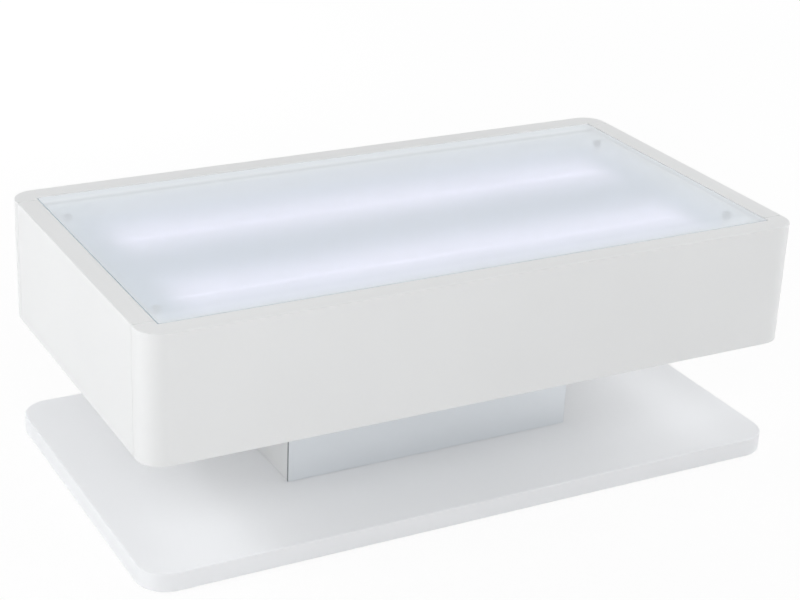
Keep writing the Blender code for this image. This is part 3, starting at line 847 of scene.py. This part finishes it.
@dataclass
class Box(Assembly):
    """The box's fixed boards and bolts. Its cheeks meet the drawer fronts at narrow seams."""

    rim_edge: float = 0.0015
    seam_edge: float = 0.0004
    corner: float = 0.0010

    def build(self) -> None:
        """Build the cheeks, and dress the inner boards and the bolts."""
        for side in SIDES:
            node = f"cheek_{side}"
            mesh = slab(f"{node}_gloss", Extent.of(node), (self.corner,) * 4,
                        (self.rim_edge, self.seam_edge), EDGE_STEPS)
            add_piece(f"{node}_gloss", mesh, Body.TABLE, LACQUER, node)
            self.dress(f"side_board_{side}", LIT_WALL)
        for face in FACES:
            self.dress(f"glass_rail_{face}", LIT_WALL)
            for side in SIDES:
                self.dress(f"box_bolt_{face}_{side}", ZINC)
        self.dress("bottom_panel", MELAMINE)
        self.dress("centre_board", MELAMINE)


@dataclass
class LitTop(Assembly):
    """The glass on its posts, and the light tray, strips, controller and lead below it."""

    glass_edge: float = 0.001
    glass_corner: float = 0.0016

    def build(self) -> None:
        """Build the glass and dress what lies below it."""
        mesh = slab("glass_plate", Extent.of("glass_top"), (self.glass_corner,) * 4,
                    (self.glass_edge,) * 2, EDGE_STEPS)
        two_finishes(mesh, GLASS, GLASS_EDGE, upright_faces(mesh))
        add_piece("glass_plate", mesh, Body.TABLE, GLASS, "glass_top")
        self.dress("light_tray", LIT_TRAY)
        for face in FACES:
            self.dress(f"led_strip_{face}", LIT_TRAY)
            for side in SIDES:
                self.dress(f"glass_post_{face}_{side}", POSTS[side])
        self.dress("led_controller", WHITE_PLASTIC)
        self.dress("led_lead", WHITE_PLASTIC)


@dataclass
class Drawer(Assembly):
    """One drawer: its gloss front, the box behind it and its slides."""

    face: str
    body: Body
    corner_radius: float = 0.039
    rim_edge: float = 0.0015
    seam_edge: float = 0.0004
    inner_corner: float = 0.0010
    glass_gap: float = 0.0015
    glass_clearance: float = 0.001
    step_rise: float = 0.0001

    def build(self) -> None:
        """Build the front and dress the rest."""
        node = f"{self.face}_drawer_front"
        mesh = self.front(f"{node}_gloss", Extent.of(node))
        add_piece(f"{node}_gloss", mesh, self.body, LACQUER, node)
        self.dress(f"{self.face}_drawer_back", MELAMINE)
        self.dress(f"{self.face}_drawer_bottom", HARDBOARD)
        for side in SIDES:
            self.dress(f"{self.face}_drawer_side_{side}", MELAMINE)
            for channel in ("cabinet", "middle", "drawer"):
                self.dress(f"{self.face}_{side}_slide_{channel}", ZINC)

    def front(self, name: str, extent: Extent) -> bpy.types.Mesh:
        """Make the drawer's front, with the step in its back that the glass reaches over.

        The outline is worked out for the front drawer, and turned half round for the back one.
        Below the step's floor its back is straight. Above the floor the same points go round the
        step. Below it, the step's two inner corners lie aside, so that all points stay apart.

        Args:
            name: the mesh's name.
            extent: the front's corners.

        Returns:
            The mesh.
        """
        glass = Extent.of("glass_top")
        turn = 1 if self.face == "front" else -1
        low, high = np.sort(turn * np.array([extent.low[:2], extent.high[:2]]), axis=0)
        outer, inner = self.corner_radius, self.inner_corner
        points, normals = rounded_outline(low, high, (inner, inner, outer, outer), CORNER_STEPS)
        step = np.array([glass.high[0] + self.glass_gap, glass.low[1] - self.glass_gap])
        around, around_normals = self.step_outline(step, high[1])
        straight = around.copy()
        straight[:, 1] = high[1]
        right_inner = len(around) // 2 - 1
        straight[[right_inner, right_inner + 1], 0] += (-self.seam_edge, self.seam_edge)
        straight_normals = np.array([[0.0, 1.0]]).repeat(len(around), axis=0)
        first = CORNER_STEPS + 1
        lower = np.insert(points, [first], straight, axis=0)
        lower_normals = np.insert(normals, [first], straight_normals, axis=0)
        upper = np.insert(points, [first], around, axis=0)
        upper_normals = np.insert(normals, [first], around_normals, axis=0)
        seam = upper[:, 1:] > high[1] - inner - self.seam_edge / 2
        widths = np.where(seam, (self.rim_edge, self.seam_edge), self.rim_edge)
        floor = glass.low[2] - self.glass_clearance
        moved = np.abs(upper - lower).max(axis=1, keepdims=True) > 0
        above_floor = np.where(moved, floor, floor + self.step_rise)
        rings = np.concatenate([
            rounded_rows(lower, lower_normals, widths, extent.low[2], self.rim_edge),
            np.insert(lower, 2, floor, axis=1)[None],
            np.concatenate([upper, above_floor], axis=1)[None],
            rounded_rows(upper, upper_normals, widths, extent.high[2], -self.rim_edge)[::-1]])
        rings[..., :2] *= turn
        return ring_mesh(name, rings)

    def step_outline(self, corner: np.ndarray, back: float) -> tuple[np.ndarray, np.ndarray]:
        """Compute the way round the step, from its right end to its left end.

        Args:
            corner: the step's inner corner at the right.
            back: y of the front's back face.

        Returns:
            The points and their outward normals. At an inner corner the normal is the sum of both.
        """
        bend = np.linspace(0, QUARTER, EDGE_STEPS + 1)[:, None]
        turned_normals = np.concatenate([-np.sin(bend), np.cos(bend)], axis=1)
        centre = np.array([corner[0] + self.seam_edge, back - self.seam_edge])
        right = np.concatenate([centre + self.seam_edge * turned_normals, corner[None]])
        right_normals = np.concatenate([turned_normals, [[-1.0, 1.0]]])
        flip = np.array([-1, 1])
        return (np.concatenate([right, (right * flip)[::-1]]),
                np.concatenate([right_normals, (right_normals * flip)[::-1]]))


@dataclass(frozen=True)
class Softbox:
    """A square lamp that looks at the table.

    Its light is how brightly it alone shows a white surface that faces it. Its azimuth is 0 in
    front of the table and -90 at its left.
    """

    name: str
    azimuth: float
    elevation: float
    light: float
    size: float
    distance: float = 3.4
    aim: Triple = (0.0, 0.0, 0.2)

    def build(self) -> None:
        """Build the lamp. A power of (pi distance)^2 shows a facing white surface as white."""
        lamp = bpy.data.lights.new(self.name, "AREA")
        lamp.shape = "SQUARE"
        lamp.size = self.size
        lamp.energy = (math.pi * self.distance) ** 2 * self.light
        piece = bpy.data.objects.new(self.name, lamp)
        piece.visible_glossy = False
        bpy.context.scene.collection.objects.link(piece)
        around, up = math.radians(self.azimuth), math.radians(self.elevation)
        direction = Vector((math.sin(around) * math.cos(up), -math.cos(around) * math.cos(up),
                            math.sin(up)))
        place = tuple(Vector(self.aim) + direction * self.distance)
        piece.matrix_world = facing(place, self.aim)


@dataclass
class Studio:
    """A pale floor, soft light and the camera."""

    floor_size: float = 40.0
    floor_colour: Colour = (0.94, 0.94, 0.94)
    floor_glow_share: float = 0.91
    floor_far: tuple[float, float] = (1.2, 4.0)
    lamps: tuple[Softbox, ...] = (
        Softbox("back_low_softbox", 180.0, 11.0, 0.415, 1.3),
        Softbox("right_low_softbox", 90.0, 11.0, 0.13, 1.3),
        Softbox("front_left_softbox", -30.0, 30.0, 0.432, 2.0),
        Softbox("front_right_softbox", 60.0, 30.0, 0.395, 2.0),
        Softbox("left_low_softbox", -90.0, 11.0, 0.11, 1.3),
        Softbox("left_softbox", -90.0, 36.0, 0.125, 0.5),
        Softbox("back_left_softbox", -120.0, 30.0, 0.28, 2.0),
        Softbox("back_right_softbox", 120.0, 30.0, 0.22, 2.0),
        Softbox("top_softbox", 0.0, 88.0, 0.095, 2.2))
    camera_place: Triple = (-1.4105, -2.5490, 1.5251)
    camera_aim: Triple = (-0.0011, 0.0, 0.2611)
    camera_roll: float = math.radians(2.506)
    camera_lens: float = 84.87

    def build(self) -> None:
        """Build the floor, the light and the camera."""
        self.floor()
        self.sky()
        for lamp in self.lamps:
            lamp.build()
        self.camera()

    def seen(self, graph: Graph) -> bpy.types.NodeSocket:
        """Tell what is seen from what only gives light.

        Args:
            graph: the material's or the world's graph.

        Returns:
            One where the surface is seen, straight, by gloss or through glass, else zero.
        """
        path = graph.node("ShaderNodeLightPath").outputs
        first = graph.maths("MAXIMUM", path["Is Camera Ray"], path["Is Glossy Ray"])
        return graph.maths("MAXIMUM", first, path["Is Transmission Ray"])

    def floor(self) -> None:
        """Build the floor: seen as white, with the table's soft shadow on it near the table.

        The share of plain white in what is seen rises to one between two distances from the middle.
        """
        half = self.floor_size / 2
        corners = [(-half, -half, 0), (half, -half, 0), (half, half, 0), (-half, half, 0)]
        mesh = bpy.data.meshes.new("floor")
        mesh.from_pydata(corners, [], [(0, 1, 2, 3)])
        material = bpy.data.materials.new("floor")
        material.use_nodes = True
        material.node_tree.nodes.clear()
        graph = Graph(material.node_tree)
        matte = graph.node("ShaderNodeBsdfDiffuse", {"Color": opaque(self.floor_colour)})
        glow = graph.node("ShaderNodeEmission", {"Color": opaque(WHITE), "Strength": 1.0})
        away = graph.node("ShaderNodeVectorMath", {0: graph.place()},
                          operation="LENGTH").outputs["Value"]
        share = graph.maths("MULTIPLY", self.seen(graph),
                            graph.span(away, *self.floor_far, self.floor_glow_share, 1.0))
        mixed = graph.node("ShaderNodeMixShader",
                           {0: share, 1: matte.outputs[0], 2: glow.outputs[0]})
        graph.node("ShaderNodeOutputMaterial", {"Surface": mixed.outputs[0]})
        mesh.materials.append(material)
        plane = bpy.data.objects.new("floor", mesh)
        bpy.context.scene.collection.objects.link(plane)

    def sky(self) -> None:
        """Build the world: seen as white, while the light comes from the lamps alone."""
        world = bpy.data.worlds.new("studio")
        world.use_nodes = True
        world.node_tree.nodes.clear()
        graph = Graph(world.node_tree)
        sky = graph.node("ShaderNodeBackground",
                         {"Color": opaque(WHITE), "Strength": self.seen(graph)})
        graph.node("ShaderNodeOutputWorld", {"Surface": sky.outputs[0]})
        bpy.context.scene.world = world

    def camera(self) -> None:
        """Build the camera."""
        lens = bpy.data.cameras.new("camera")
        lens.lens = self.camera_lens
        camera = bpy.data.objects.new("camera", lens)
        bpy.context.scene.collection.objects.link(camera)
        camera.matrix_world = facing(self.camera_place, self.camera_aim, self.camera_roll)
        bpy.context.scene.camera = camera


def facing(place: Triple, aim: Triple, roll: float = 0.0) -> Matrix:
    """The matrix of a camera or lamp.

    Args:
        place: where it stands.
        aim: the point that it looks at.
        roll: how far it is turned about its line of sight, in radians.

    Returns:
        The matrix, whose -Z axis runs along the line of sight.
    """
    turn = (Vector(aim) - Vector(place)).to_track_quat("-Z", "Y").to_matrix().to_4x4()
    return Matrix.Translation(place) @ turn @ Matrix.Rotation(roll, 4, "Z")


def main() -> None:
    """Build the table's looks and the studio."""
    logging.basicConfig(level=logging.INFO, format="%(message)s")
    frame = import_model()
    Base(frame).build()
    Pedestal(frame).build()
    Box(frame).build()
    LitTop(frame).build()
    Drawer(frame, "front", Body.FRONT_DRAWER).build()
    Drawer(frame, "back", Body.BACK_DRAWER).build()
    Studio().build()
    bpy.context.scene.view_settings.view_transform = "Standard"
    bpy.context.view_layer.update()


if __name__ == "__main__":
    main()
